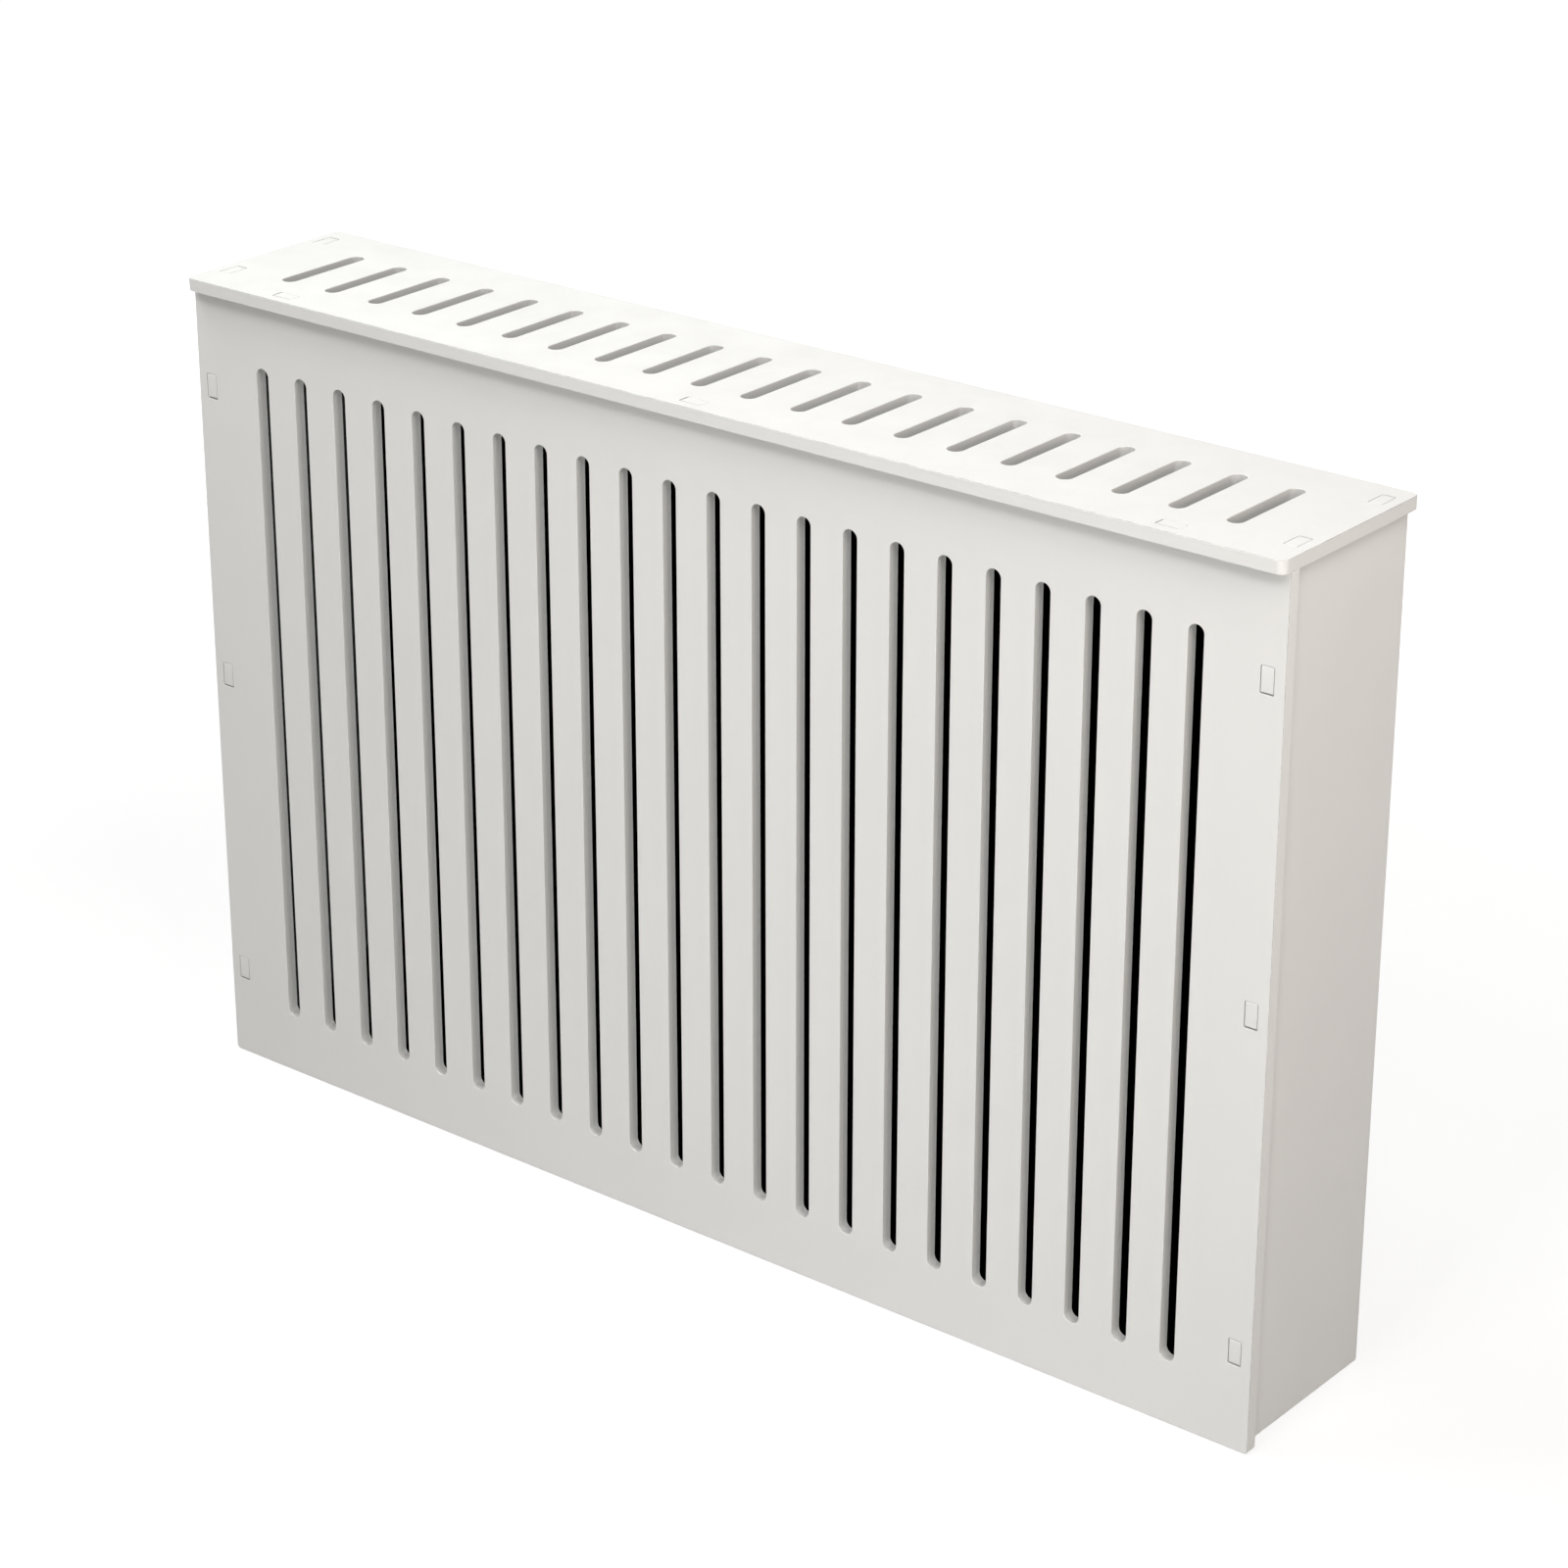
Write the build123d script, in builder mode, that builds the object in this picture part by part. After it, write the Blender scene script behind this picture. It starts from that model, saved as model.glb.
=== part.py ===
# Radiator cover cabinet: a floor-standing box of routed, painted board with an open back and an
# open bottom, slotted in front and on top so that warm air can rise through it.
# Four panels lock together with tabs in mortises. Battens are glued into the corners from inside,
# and two angle brackets hold the box to the wall.
#
# Millimetres. +Z is up, the front looks along -Y, and the origin is on the floor under the middle
# of the box.

import os

from build123d import *

# ---- Overall size ----
cover_width = 900.0  # along X, the same for the front and the top panel
cover_depth = 150.0  # along Y, over the top panel
cover_height = 600.0  # along Z, from the floor to the top panel's upper face
board = 9.0  # thickness of every panel

# ---- How the panels stand to each other ----
top_overhang = 8.0  # the top panel reaches this far in front of the front panel
side_inset = 8.0  # the side panels stand this far in from the ends of the front panel
top_corner_radius = 6.0  # the top panel's four corners, seen from above
front_corner_radius = 3.0  # the front panel's two lower corners
arris = 0.8  # bevel along the panels' show edges

# ---- Slots of the front panel, upright ----
front_slot_width = 11.2
front_slot_pitch = 36.8  # wanted spacing, which the run of slots divides evenly
front_slot_end_margin = 63.0  # from the panel's end to the middle of its first slot
front_slot_foot = 45.0  # solid board under the slots
front_slot_head = 46.9  # solid board over the slots

# ---- Slots of the top panel, from front to back ----
top_slot_width = 11.2
top_slot_pitch = 41.0  # wanted spacing, as for the front
top_slot_end_margin = 60.5
top_slot_front_margin = 36.7  # solid board in front of the slots
top_slot_rear_margin = 37.5  # solid board behind the slots

# ---- Tabs and the mortises that they fill ----
tab_length = 17.3
tab_bevel = 1.0  # the tabs' four corners
tab_clearance = 0.4  # gap round a tab in its mortise
side_tab_foot = 69.7  # the lowest tab on a side panel's front edge, above the floor
side_tab_head = 69.7  # the highest one, below the panel's top edge
side_tab_rise = 8.4  # the middle one, above the panel's half height
side_top_tab_front = 17.0  # tabs on a side panel's top edge, behind its front edge
side_top_tab_rear = 24.0  # and in front of its rear edge
front_tab_end_margin = 86.0  # the front panel's outer top tabs, in from its ends

# ---- Battens of square section ----
batten = 15.0
batten_bevel = 3.0  # on the one edge that stands free
corner_batten_foot = 30.0  # the upright battens start this far above the floor
top_batten_rear_gap = 20.0  # the top side battens stop this far in front of the wall

# ---- Countersunk screws ----
screw_diameter = 3.5
screw_head_diameter = 6.5
screw_point_length = 2.0
screw_tip_diameter = 0.8
screw_skin = 1.5  # board left between a screw hole's bottom and the show face
screw_tip_gap = 0.4  # room under the tip of a screw
screw_play = 0.05  # gap round a screw in its hole in the board

# ---- Wall brackets, bent from flat steel: a short leg on the side panel, a long one on the wall ----
bracket_width = 20.0
bracket_thickness = 2.0
bracket_bend_radius = 1.0  # inside the bend
bracket_end_radius = 3.0  # corners at the ends of the legs
bracket_first_hole = 10.0  # from the heel to the first screw
bracket_hole_pitch = 12.0  # from the first screw to the second
bracket_hole_clearance = 0.2  # round a screw in the steel
bracket_leg_tip = 8.0  # steel past the middle of a leg's last hole
wall_hole_diameter = 5.0
wall_hole_height = 500.0  # above the floor
countersink_angle = 90.0

# ---- Places that follow from these sizes ----
body_height = cover_height - board  # top edge of the front and side panels, under the top panel
rear_y = cover_depth / 2
front_outer_y = -cover_depth / 2 + top_overhang
front_inner_y = front_outer_y + board
front_middle_y = front_outer_y + board / 2
side_outer_x = cover_width / 2 - side_inset
side_inner_x = side_outer_x - board
side_middle_x = side_outer_x - board / 2
side_depth = rear_y - front_inner_y


def spaced(end_margin, wanted_pitch):
    """Number of slots that fill the width between two end margins, and their even spacing."""
    run = cover_width - 2 * end_margin
    gaps = round(run / wanted_pitch)
    return gaps + 1, run / gaps


front_slot_count, front_slot_step = spaced(front_slot_end_margin, front_slot_pitch)
top_slot_count, top_slot_step = spaced(top_slot_end_margin, top_slot_pitch)
front_slot_length = body_height - front_slot_foot - front_slot_head
front_slot_middle_z = front_slot_foot + front_slot_length / 2
top_slot_length = cover_depth - top_slot_front_margin - top_slot_rear_margin
top_slot_middle_y = (top_slot_front_margin - top_slot_rear_margin) / 2

side_tab_heights = (
    side_tab_foot,
    body_height / 2 + side_tab_rise,
    body_height - side_tab_head,
)
side_top_tab_places = (
    front_inner_y + side_top_tab_front,
    rear_y - side_top_tab_rear,
)
front_tab_reach = cover_width / 2 - front_tab_end_margin
front_tab_places = (-front_tab_reach, 0, front_tab_reach)

screw_radius = screw_diameter / 2
screw_head_radius = screw_head_diameter / 2
screw_head_height = screw_head_radius - screw_radius  # the countersink's slope is 45 degrees
screw_hole_depth = board - screw_skin
screw_reaches = (bracket_first_hole, bracket_first_hole + bracket_hole_pitch)
short_leg = screw_reaches[-1] + bracket_leg_tip
first_slot_x = cover_width / 2 - front_slot_end_margin
wall_hole_reach = side_inner_x - first_slot_x  # a driver reaches the wall screw through this slot
long_leg = wall_hole_reach + bracket_leg_tip

# ---- Working planes ----
front_back_face = Plane((0, front_inner_y, 0), x_dir=(1, 0, 0), z_dir=(0, -1, 0))
side_inner_face = Plane((side_inner_x, 0, 0), x_dir=(0, 1, 0), z_dir=(1, 0, 0))
top_under_face = Plane.XY.offset(body_height)

os.makedirs("parts", exist_ok=True)


def tab_outline(along_x, along_y):
    """End of one tab, with bevelled corners, at each place of the sketch that is being drawn."""
    with BuildSketch(mode=Mode.PRIVATE) as outline:
        Rectangle(along_x, along_y)
        chamfer(outline.vertices(), tab_bevel)
    add(outline.sketch)


def mortise_outline(along_x, along_y):
    """The hole for one tab, wider by an even gap all round."""
    with BuildSketch(mode=Mode.PRIVATE) as outline:
        Rectangle(along_x, along_y)
        chamfer(outline.vertices(), tab_bevel)
        offset(amount=tab_clearance, kind=Kind.INTERSECTION)
    add(outline.sketch)


# ---- Front panel: upright slots, three tabs on top, six mortises for the side panels ----
with BuildPart() as front_panel:
    with BuildSketch(front_back_face) as front_outline:
        with Locations((0, body_height / 2)):
            Rectangle(cover_width, body_height)
        fillet(front_outline.vertices().group_by(Axis.Y)[0], front_corner_radius)
    extrude(amount=board)
    show_edges = front_panel.faces().sort_by(Axis.Y)[0].outer_wire().edges()
    chamfer(show_edges.sort_by(Axis.Z)[:-1], arris)  # all but the edge under the top panel

    with BuildSketch(front_back_face):
        with Locations((0, front_slot_middle_z)):
            with GridLocations(front_slot_step, 0, front_slot_count, 1):
                SlotOverall(front_slot_length, front_slot_width, rotation=90)
        for hand in (-1, 1):
            with Locations(*[(hand * side_middle_x, z) for z in side_tab_heights]):
                mortise_outline(board, tab_length)
    extrude(amount=board, mode=Mode.SUBTRACT)

    with BuildSketch(top_under_face):
        with Locations(*[(x, front_middle_y) for x in front_tab_places]):
            tab_outline(tab_length, board)
    extrude(amount=board)
front_panel.part.label = "front_panel"
export_step(front_panel.part, "parts/front_panel.step")

# ---- Top panel: rests on the other three, whose seven tabs end flush with its upper face ----
with BuildPart() as top_panel:
    with BuildSketch(top_under_face):
        RectangleRounded(cover_width, cover_depth, top_corner_radius)
    extrude(amount=board)
    upper_edges = top_panel.faces().sort_by(Axis.Z)[-1].outer_wire().edges()
    lower_edges = top_panel.faces().sort_by(Axis.Z)[0].outer_wire().edges()
    chamfer(upper_edges + lower_edges, arris)

    with BuildSketch(top_under_face):
        with Locations((0, top_slot_middle_y)):
            with GridLocations(top_slot_step, 0, top_slot_count, 1):
                SlotOverall(top_slot_length, top_slot_width, rotation=90)
        for hand in (-1, 1):
            with Locations(*[(hand * side_middle_x, y) for y in side_top_tab_places]):
                mortise_outline(board, tab_length)
        with Locations(*[(x, front_middle_y) for x in front_tab_places]):
            mortise_outline(tab_length, board)
    extrude(amount=board, mode=Mode.SUBTRACT)
top_panel.part.label = "top_panel"
export_step(top_panel.part, "parts/top_panel.step")

# ---- Wall bracket, lying with its long leg on Z = 0 along X and its short leg standing on X = 0 ----
long_leg_face = Plane.XY.offset(bracket_thickness)
short_leg_back = Plane((0, 0, 0), x_dir=(0, 0, 1), z_dir=(1, 0, 0))
short_leg_face = short_leg_back.offset(bracket_thickness)

with BuildPart() as bracket:
    with BuildSketch(Plane.XZ) as section:
        with BuildLine():
            Polyline(
                (0, 0),
                (long_leg, 0),
                (long_leg, bracket_thickness),
                (bracket_thickness, bracket_thickness),
                (bracket_thickness, short_leg),
                (0, short_leg),
                close=True,
            )
        make_face()
        heel, throat = section.vertices().sort_by_distance((0, 0))[:2]
        fillet(throat, bracket_bend_radius)
        fillet(heel, bracket_bend_radius + bracket_thickness)
    extrude(amount=bracket_width / 2, both=True)
    fillet(bracket.edges().filter_by(Axis.Z).group_by(Axis.X)[-1], bracket_end_radius)
    fillet(bracket.edges().filter_by(Axis.X).group_by(Axis.Z)[-1], bracket_end_radius)
    with BuildSketch(long_leg_face):
        with Locations((wall_hole_reach, 0)):
            Circle(wall_hole_diameter / 2)
    extrude(amount=-bracket_thickness, mode=Mode.SUBTRACT)
    with Locations(short_leg_face):
        with Locations(*[(reach, 0) for reach in screw_reaches]):
            CounterSinkHole(
                radius=screw_radius + bracket_hole_clearance,
                counter_sink_radius=screw_head_radius,
                depth=bracket_thickness,
                counter_sink_angle=countersink_angle,
            )

# ---- Screw, standing in the board's face at Z = 0 with its head flush in the steel above it ----
with BuildPart() as screw:
    with BuildSketch(Plane.XZ):
        with BuildLine():
            Polyline(
                (0, bracket_thickness),
                (screw_head_radius, bracket_thickness),
                (screw_radius, bracket_thickness - screw_head_height),
                (screw_radius, screw_tip_gap + screw_point_length - screw_hole_depth),
                (screw_tip_diameter / 2, screw_tip_gap - screw_hole_depth),
                (0, screw_tip_gap - screw_hole_depth),
                close=True,
            )
        make_face()
    revolve(axis=Axis.Z)

# ---- Right side: the panel with its five tabs and two screw holes, its bracket and screws ----
right_heel = (side_inner_x, rear_y, wall_hole_height)
right_bracket_place = Plane(right_heel, x_dir=(-1, 0, 0), z_dir=(0, -1, 0))
right_board_face = Plane(right_heel, x_dir=(0, -1, 0), z_dir=(-1, 0, 0))

with BuildPart() as side_panel_right:
    with BuildSketch(side_inner_face):
        with Locations((front_inner_y + side_depth / 2, body_height / 2)):
            Rectangle(side_depth, body_height)
    extrude(amount=board)

    with BuildSketch(front_back_face):
        with Locations(*[(side_middle_x, z) for z in side_tab_heights]):
            tab_outline(board, tab_length)
    extrude(amount=board)

    with BuildSketch(top_under_face):
        with Locations(*[(side_middle_x, y) for y in side_top_tab_places]):
            tab_outline(board, tab_length)
    extrude(amount=board)

    with BuildSketch(right_board_face):
        with Locations(*[(reach, 0) for reach in screw_reaches]):
            Circle(screw_radius + screw_play)
    extrude(amount=-screw_hole_depth, mode=Mode.SUBTRACT)
side_panel_right.part.label = "side_panel_right"
export_step(side_panel_right.part, "parts/side_panel_right.step")

with BuildPart() as wall_bracket_right:
    with Locations(right_bracket_place):
        add(bracket.part)
wall_bracket_right.part.label = "wall_bracket_right"
export_step(wall_bracket_right.part, "parts/wall_bracket_right.step")

with BuildPart() as right_screws:
    with Locations(right_board_face):
        with Locations(*[(reach, 0) for reach in screw_reaches]):
            add(screw.part)

# ---- Right battens: one upright between front and side, one under the top panel ----
with BuildPart() as batten_front_right:
    with BuildSketch(Plane.XY.offset(corner_batten_foot)) as section:
        with Locations((side_inner_x, front_inner_y)):
            Rectangle(batten, batten, align=(Align.MAX, Align.MIN))
        free_edge = section.vertices().sort_by_distance((side_inner_x, front_inner_y))[-1]
        chamfer(free_edge, batten_bevel)
    extrude(amount=body_height - batten - corner_batten_foot)
batten_front_right.part.label = "batten_front_right"
export_step(batten_front_right.part, "parts/batten_front_right.step")

with BuildPart() as batten_top_right:
    with BuildSketch(front_back_face) as section:
        with Locations((side_inner_x, body_height)):
            Rectangle(batten, batten, align=(Align.MAX, Align.MAX))
        free_edge = section.vertices().sort_by_distance((side_inner_x, body_height))[-1]
        chamfer(free_edge, batten_bevel)
    extrude(amount=top_batten_rear_gap - side_depth)
batten_top_right.part.label = "batten_top_right"
export_step(batten_top_right.part, "parts/batten_top_right.step")

# ---- Batten between the top and front panels, fitted between the two top side battens ----
with BuildPart() as batten_top_front:
    with BuildSketch(Plane.YZ) as section:
        with Locations((front_inner_y, body_height)):
            Rectangle(batten, batten, align=(Align.MIN, Align.MAX))
        free_edge = section.vertices().sort_by_distance((front_inner_y, body_height))[-1]
        chamfer(free_edge, batten_bevel)
    extrude(amount=side_inner_x - batten, both=True)
batten_top_front.part.label = "batten_top_front"
export_step(batten_top_front.part, "parts/batten_top_front.step")

# ---- Left side: the mirror image of the right ----
with BuildPart() as side_panel_left:
    mirror(side_panel_right.part, about=Plane.YZ)
side_panel_left.part.label = "side_panel_left"
export_step(side_panel_left.part, "parts/side_panel_left.step")

with BuildPart() as wall_bracket_left:
    mirror(wall_bracket_right.part, about=Plane.YZ)
wall_bracket_left.part.label = "wall_bracket_left"
export_step(wall_bracket_left.part, "parts/wall_bracket_left.step")

with BuildPart() as batten_front_left:
    mirror(batten_front_right.part, about=Plane.YZ)
batten_front_left.part.label = "batten_front_left"
export_step(batten_front_left.part, "parts/batten_front_left.step")

with BuildPart() as batten_top_left:
    mirror(batten_top_right.part, about=Plane.YZ)
batten_top_left.part.label = "batten_top_left"
export_step(batten_top_left.part, "parts/batten_top_left.step")

# ---- The four screws of both wall brackets ----
with BuildPart() as wall_bracket_screws:
    add(right_screws.part)
    mirror(right_screws.part, about=Plane.YZ)
wall_bracket_screws.part.label = "wall_bracket_screws"
export_step(wall_bracket_screws.part, "parts/wall_bracket_screws.step")
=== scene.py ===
import math

import bpy
import numpy as np
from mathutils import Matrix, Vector
from mathutils.geometry import delaunay_2d_cdt


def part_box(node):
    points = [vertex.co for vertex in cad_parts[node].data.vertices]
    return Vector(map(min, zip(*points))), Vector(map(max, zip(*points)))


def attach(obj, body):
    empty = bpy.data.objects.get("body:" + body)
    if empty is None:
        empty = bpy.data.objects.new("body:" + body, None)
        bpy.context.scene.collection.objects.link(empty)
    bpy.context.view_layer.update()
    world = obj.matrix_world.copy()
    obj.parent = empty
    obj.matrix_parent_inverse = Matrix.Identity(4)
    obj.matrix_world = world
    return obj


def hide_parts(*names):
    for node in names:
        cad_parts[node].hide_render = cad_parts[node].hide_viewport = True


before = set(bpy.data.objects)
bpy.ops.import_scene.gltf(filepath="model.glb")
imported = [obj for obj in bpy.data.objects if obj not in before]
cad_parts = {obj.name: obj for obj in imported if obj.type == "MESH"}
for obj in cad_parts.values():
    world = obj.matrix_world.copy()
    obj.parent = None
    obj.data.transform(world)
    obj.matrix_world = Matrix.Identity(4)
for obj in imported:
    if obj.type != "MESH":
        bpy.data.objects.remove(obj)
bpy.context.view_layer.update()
print("frame loaded:", len(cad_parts), "solids")

mm = 0.001
scene = bpy.context.scene
scene.view_settings.view_transform = "Standard"


# the viewpoint was fitted to the photograph's corners, slots and tab ends
cameraPose = {
    "place": (1.6559, -2.0243, 1.4457),
    "downward": 23.39,      # degrees below the horizon
    "turn": 38.90,          # degrees round from straight in front, to the right
    "lens": 97.495,
    "sensor": 36.0,
    "clip": (0.1, 50),
}


def addObject(name, data):
    thing = bpy.data.objects.new(name, data)
    scene.collection.objects.link(thing)
    return thing


def makeCamera(pose):
    data = bpy.data.cameras.new("viewpoint")
    data.lens, data.sensor_width = pose["lens"], pose["sensor"]
    data.clip_start, data.clip_end = pose["clip"]
    camera = addObject("viewpoint", data)
    camera.location = pose["place"]
    camera.rotation_euler = (math.radians(90 - pose["downward"]), 0, math.radians(pose["turn"]))
    scene.camera = camera


# each lamp: middle, point it looks at, width and height in metres, power in watts, colour, and for the
# one with a honeycomb grid the angle its light is kept to, in degrees
lamps = {
    "overheadLeft": ((-1.0, -0.3, 2.4), (-0.3, 0.0, 0.6), 0.8, 0.8, 18.0, (0.945, 1.0, 0.972)),
    "overheadRight": ((1.6, -0.6, 2.2), (0.2, 0.0, 0.5), 1.2, 1.2, 24.0, (1.0, 0.974, 0.950)),
    "frontHigh": ((0.0, -0.9, 2.6), (0.0, 0.0, 0.4), 1.2, 1.2, 3.6, (0.988, 0.993, 1.0)),
    "frontHighLeft": ((-1.3, -1.1, 2.3), (-0.2, 0.0, 0.4), 0.8, 0.8, 13.8, (1.0, 0.963, 0.942)),
    "frontKey": ((0.4, -1.3, 2.0), (0.2, 0.0, 0.4), 0.4, 0.4, 8.2, (0.992, 0.983, 1.0)),
    "frontLow": ((0.4, -2.4, 0.4), (0.0, 0.0, 0.3), 0.8, 0.8, 5.0, (1.0, 0.947, 0.934)),
    "frontSpot": ((0.6, -2.6, 1.0), (0.15, -0.07, 0.2), 0.3, 0.3, 0.162, (0.946, 0.979, 1.0), 28),
    "cornerLow": ((1.8, -2.6, 0.5), (0.0, 0.0, 0.3), 0.8, 0.8, 22.2, (0.968, 1.0, 0.969)),
    "rightNear": ((1.6, -0.5, 0.9), (0.45, 0.0, 0.3), 0.6, 0.6, 5.4, (1.0, 0.870, 0.785)),
    "backLeft": ((-2.2, 2.4, 1.2), (0.0, 0.0, 0.3), 1.4, 1.4, 6.0, (0.991, 1.0, 0.980)),
    "behindLow": ((0.0, 2.4, 0.32), (0.0, 0.0, 0.32), 0.8, 0.5, 26.0, (1.0, 1.0, 0.985)),
    "leftLow": ((-2.4, 1.0, 0.32), (-0.4, 0.0, 0.32), 1.0, 0.5, 20.0, (1.0, 1.0, 0.985)),
}


def makeLamps():
    for name, (middle, target, width, height, power, colour, *grid) in lamps.items():
        data = bpy.data.lights.new(name, "AREA")
        data.shape, data.size, data.size_y = "RECTANGLE", width, height
        data.energy, data.color = power, colour
        if grid:
            data.spread = math.radians(grid[0])
        lamp = addObject(name, data)
        lamp.location = middle
        lamp.rotation_euler = (Vector(target) - Vector(middle)).to_track_quat("-Z", "Y").to_euler()


def emptyTree(owner):
    owner.use_nodes = True
    owner.node_tree.nodes.clear()
    return owner.node_tree


def addNode(tree, kind, place, **values):
    node = tree.nodes.new("ShaderNode" + kind)
    node.location = place
    for key, value in values.items():
        setattr(node, key, value)
    return node


def feed(tree, value, socket):
    # a number or a colour is set on the socket, and another node's output is linked
    if isinstance(value, (int, float)):
        socket.default_value = value
    elif isinstance(value, tuple):
        socket.default_value = (*value, 1)
    else:
        tree.links.new(value, socket)


def mathNode(tree, operation, a, b, place, clamp=False):
    node = addNode(tree, "Math", place, operation=operation, use_clamp=clamp)
    feed(tree, a, node.inputs[0])
    feed(tree, b, node.inputs[1])
    return node.outputs[0]


def plus(tree, a, b, place, clamp=False):
    return mathNode(tree, "ADD", a, b, place, clamp)


def times(tree, a, b, place, clamp=False):
    return mathNode(tree, "MULTIPLY", a, b, place, clamp)


def rangeNode(tree, value, source, target, place, smooth=True):
    node = addNode(tree, "MapRange", place, interpolation_type="SMOOTHSTEP" if smooth else "LINEAR")
    feed(tree, value, node.inputs["Value"])
    for label, number in zip(("From Min", "From Max", "To Min", "To Max"), source + target):
        node.inputs[label].default_value = number
    return node.outputs["Result"]


def plainShader(tree, kind, colour, place):
    shader = addNode(tree, kind, place)
    feed(tree, colour, shader.inputs["Color"])
    return shader.outputs[0]


def finishTree(tree, kind, mask, atZero, atOne):
    # the output takes one shader where the mask is 0 and the other where it is 1
    mix = addNode(tree, "MixShader", (50, 100))
    for value, socket in zip((mask, atZero, atOne), mix.inputs):
        feed(tree, value, socket)
    feed(tree, mix.outputs[0], addNode(tree, "Output" + kind, (250, 100)).inputs[0])


# white to the camera and in reflections, and almost dark as a light
worldLook = {"seen": (1, 1, 1), "light": (0.006, 0.006, 0.006)}


def makeWorld(look):
    scene.world = bpy.data.worlds.new("studio")
    tree = emptyTree(scene.world)
    rays = addNode(tree, "LightPath", (-700, 200)).outputs
    straight = plus(tree, rays["Is Camera Ray"], rays["Is Glossy Ray"], (-500, 200))
    seen = plus(tree, straight, rays["Is Transmission Ray"], (-300, 200), True)
    finishTree(tree, "World", seen, plainShader(tree, "Background", look["light"], (-300, 0)),
               plainShader(tree, "Background", look["seen"], (-300, -150)))


def makeStageSheet(name, points, faces, material):
    mesh = bpy.data.meshes.new(name)
    mesh.from_pydata(points, [], faces)
    mesh.materials.append(material)
    addObject(name, mesh)


def sheetRows(halfWidth, line):
    # a sheet across the cover as rows of two points, one row for each (y, z) of the line
    return [(side * halfWidth, y, z) for y, z in line for side in (-1, 1)]


oneSheet = [(0, 1, 3, 2)]                       # faces of a sheet of two such rows
bentSheet = [(0, 1, 3, 2), (2, 3, 5, 4)]        # and of three


# the floor: white to the camera but for a faint shadow near the cover, a plain grey to everything else
floorLook = {
    "size": 14.0, "height": -0.0004, "grey": (0.25, 0.25, 0.25), "paint": (0.35, 0.35, 0.35),
    "whitening": (0.75, 1.7), "glow": (0.70, 1.0),      # metres from the middle, and how much it glows there
}


def makeFloor(look):
    half = look["size"] / 2
    material = bpy.data.materials.new("paleFloor")
    tree = emptyTree(material)
    rays = addNode(tree, "LightPath", (-600, 300)).outputs
    seen = plus(tree, rays["Is Camera Ray"], rays["Is Glossy Ray"], (-400, 300), True)
    away = addNode(tree, "VectorMath", (-800, -200), operation="LENGTH")
    feed(tree, addNode(tree, "NewGeometry", (-1000, -200)).outputs["Position"], away.inputs[0])
    glow = addNode(tree, "Emission", (-400, -200))
    brightness = rangeNode(tree, away.outputs["Value"], look["whitening"], look["glow"], (-600, -200))
    feed(tree, brightness, glow.inputs["Strength"])
    shown = addNode(tree, "AddShader", (-150, -100))
    feed(tree, plainShader(tree, "BsdfDiffuse", look["paint"], (-400, -50)), shown.inputs[0])
    feed(tree, glow.outputs[0], shown.inputs[1])
    grey = plainShader(tree, "BsdfDiffuse", look["grey"], (-400, 100))
    finishTree(tree, "Material", seen, grey, shown.outputs[0])
    corners = [(x, y, look["height"]) for y in (-half, half) for x in (-half, half)]
    makeStageSheet("studioFloor", corners, oneSheet, material)


def makeSeeThrough(name, kind, colour, cardLike):
    # a card shows to the camera alone, only from in front. A cloth is clear to the camera alone
    material = bpy.data.materials.new(name)
    tree = emptyTree(material)
    clearness = addNode(tree, "LightPath", (-900, 200)).outputs["Is Camera Ray"]
    if cardLike:
        behind = addNode(tree, "NewGeometry", (-900, -100)).outputs["Backfacing"]
        unseen = mathNode(tree, "SUBTRACT", 1, clearness, (-700, 0))
        clearness = mathNode(tree, "MAXIMUM", unseen, behind, (-400, 100))
    clear = addNode(tree, "BsdfTransparent", (-400, -250)).outputs[0]
    finishTree(tree, "Material", clearness, plainShader(tree, kind, colour, (-400, -100)), clear)
    return material


# painted shade: dark cards behind the slots stand for the shade inside the cover. A black one rises from the
# floor behind the front panel to just before the brackets and stands there up to the lid, and a grey one, a
# faint constant glow, stands slanted in the left front corner before the shaded inner face of the left side
cards = {
    "floor": 0.0005, "foot": -0.0565, "bend": 0.20, "rear": 0.0725, "top": 0.588, "halfWidth": 0.4315,
    "corner": ((-0.4175, -0.043), (-0.3600, 0.010)),
    "black": (0, 0, 0), "grey": (0.010, 0.010, 0.010),
}


def makeCards(card):
    # both cards are painted shade: black, and a faint grey glow, seen where the inside lies in shade
    line = [(card["foot"], card["floor"]), (card["rear"], card["bend"]), (card["rear"], card["top"])]
    black = makeSeeThrough("blackShadeCard", "Emission", card["black"], True)
    grey = makeSeeThrough("greyShadeCard", "Emission", card["grey"], True)
    makeStageSheet("blackShadeCard", sheetRows(card["halfWidth"], line), bentSheet, black)
    rows = [(x, y, z) for z in (card["floor"], card["top"]) for x, y in card["corner"]]
    makeStageSheet("cornerShadeCard", rows, oneSheet, grey)


# black cloths across the slots, just before the boards' inner faces, keep light from passing, and a
# strip of the same cloth lies under the lid's overhang
cloths = {
    "inFront": -0.0584, "inLid": 0.5914, "halfWidth": 0.4325, "foot": 0.030, "rear": 0.0700,
    "strip": (-0.0712, -0.0668), "underLid": 0.5905, "stripHalf": 0.445, "black": (0.09, 0.09, 0.09),
}


def makeCloths(cloth):
    y, z = cloth["inFront"], cloth["inLid"]
    line = [(y, cloth["foot"]), (y, z), (cloth["rear"], z)]
    black = makeSeeThrough("blackoutCloth", "BsdfDiffuse", cloth["black"], False)
    makeStageSheet("blackout", sheetRows(cloth["halfWidth"], line), bentSheet, black)
    line = [(y, cloth["underLid"]) for y in cloth["strip"]]
    makeStageSheet("overhangStrip", sheetRows(cloth["stripHalf"], line), oneSheet, black)


makeCamera(cameraPose)
makeLamps()
makeWorld(worldLook)
makeFloor(floorLook)
makeCards(cards)
makeCloths(cloths)
print("studio ready")


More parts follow.
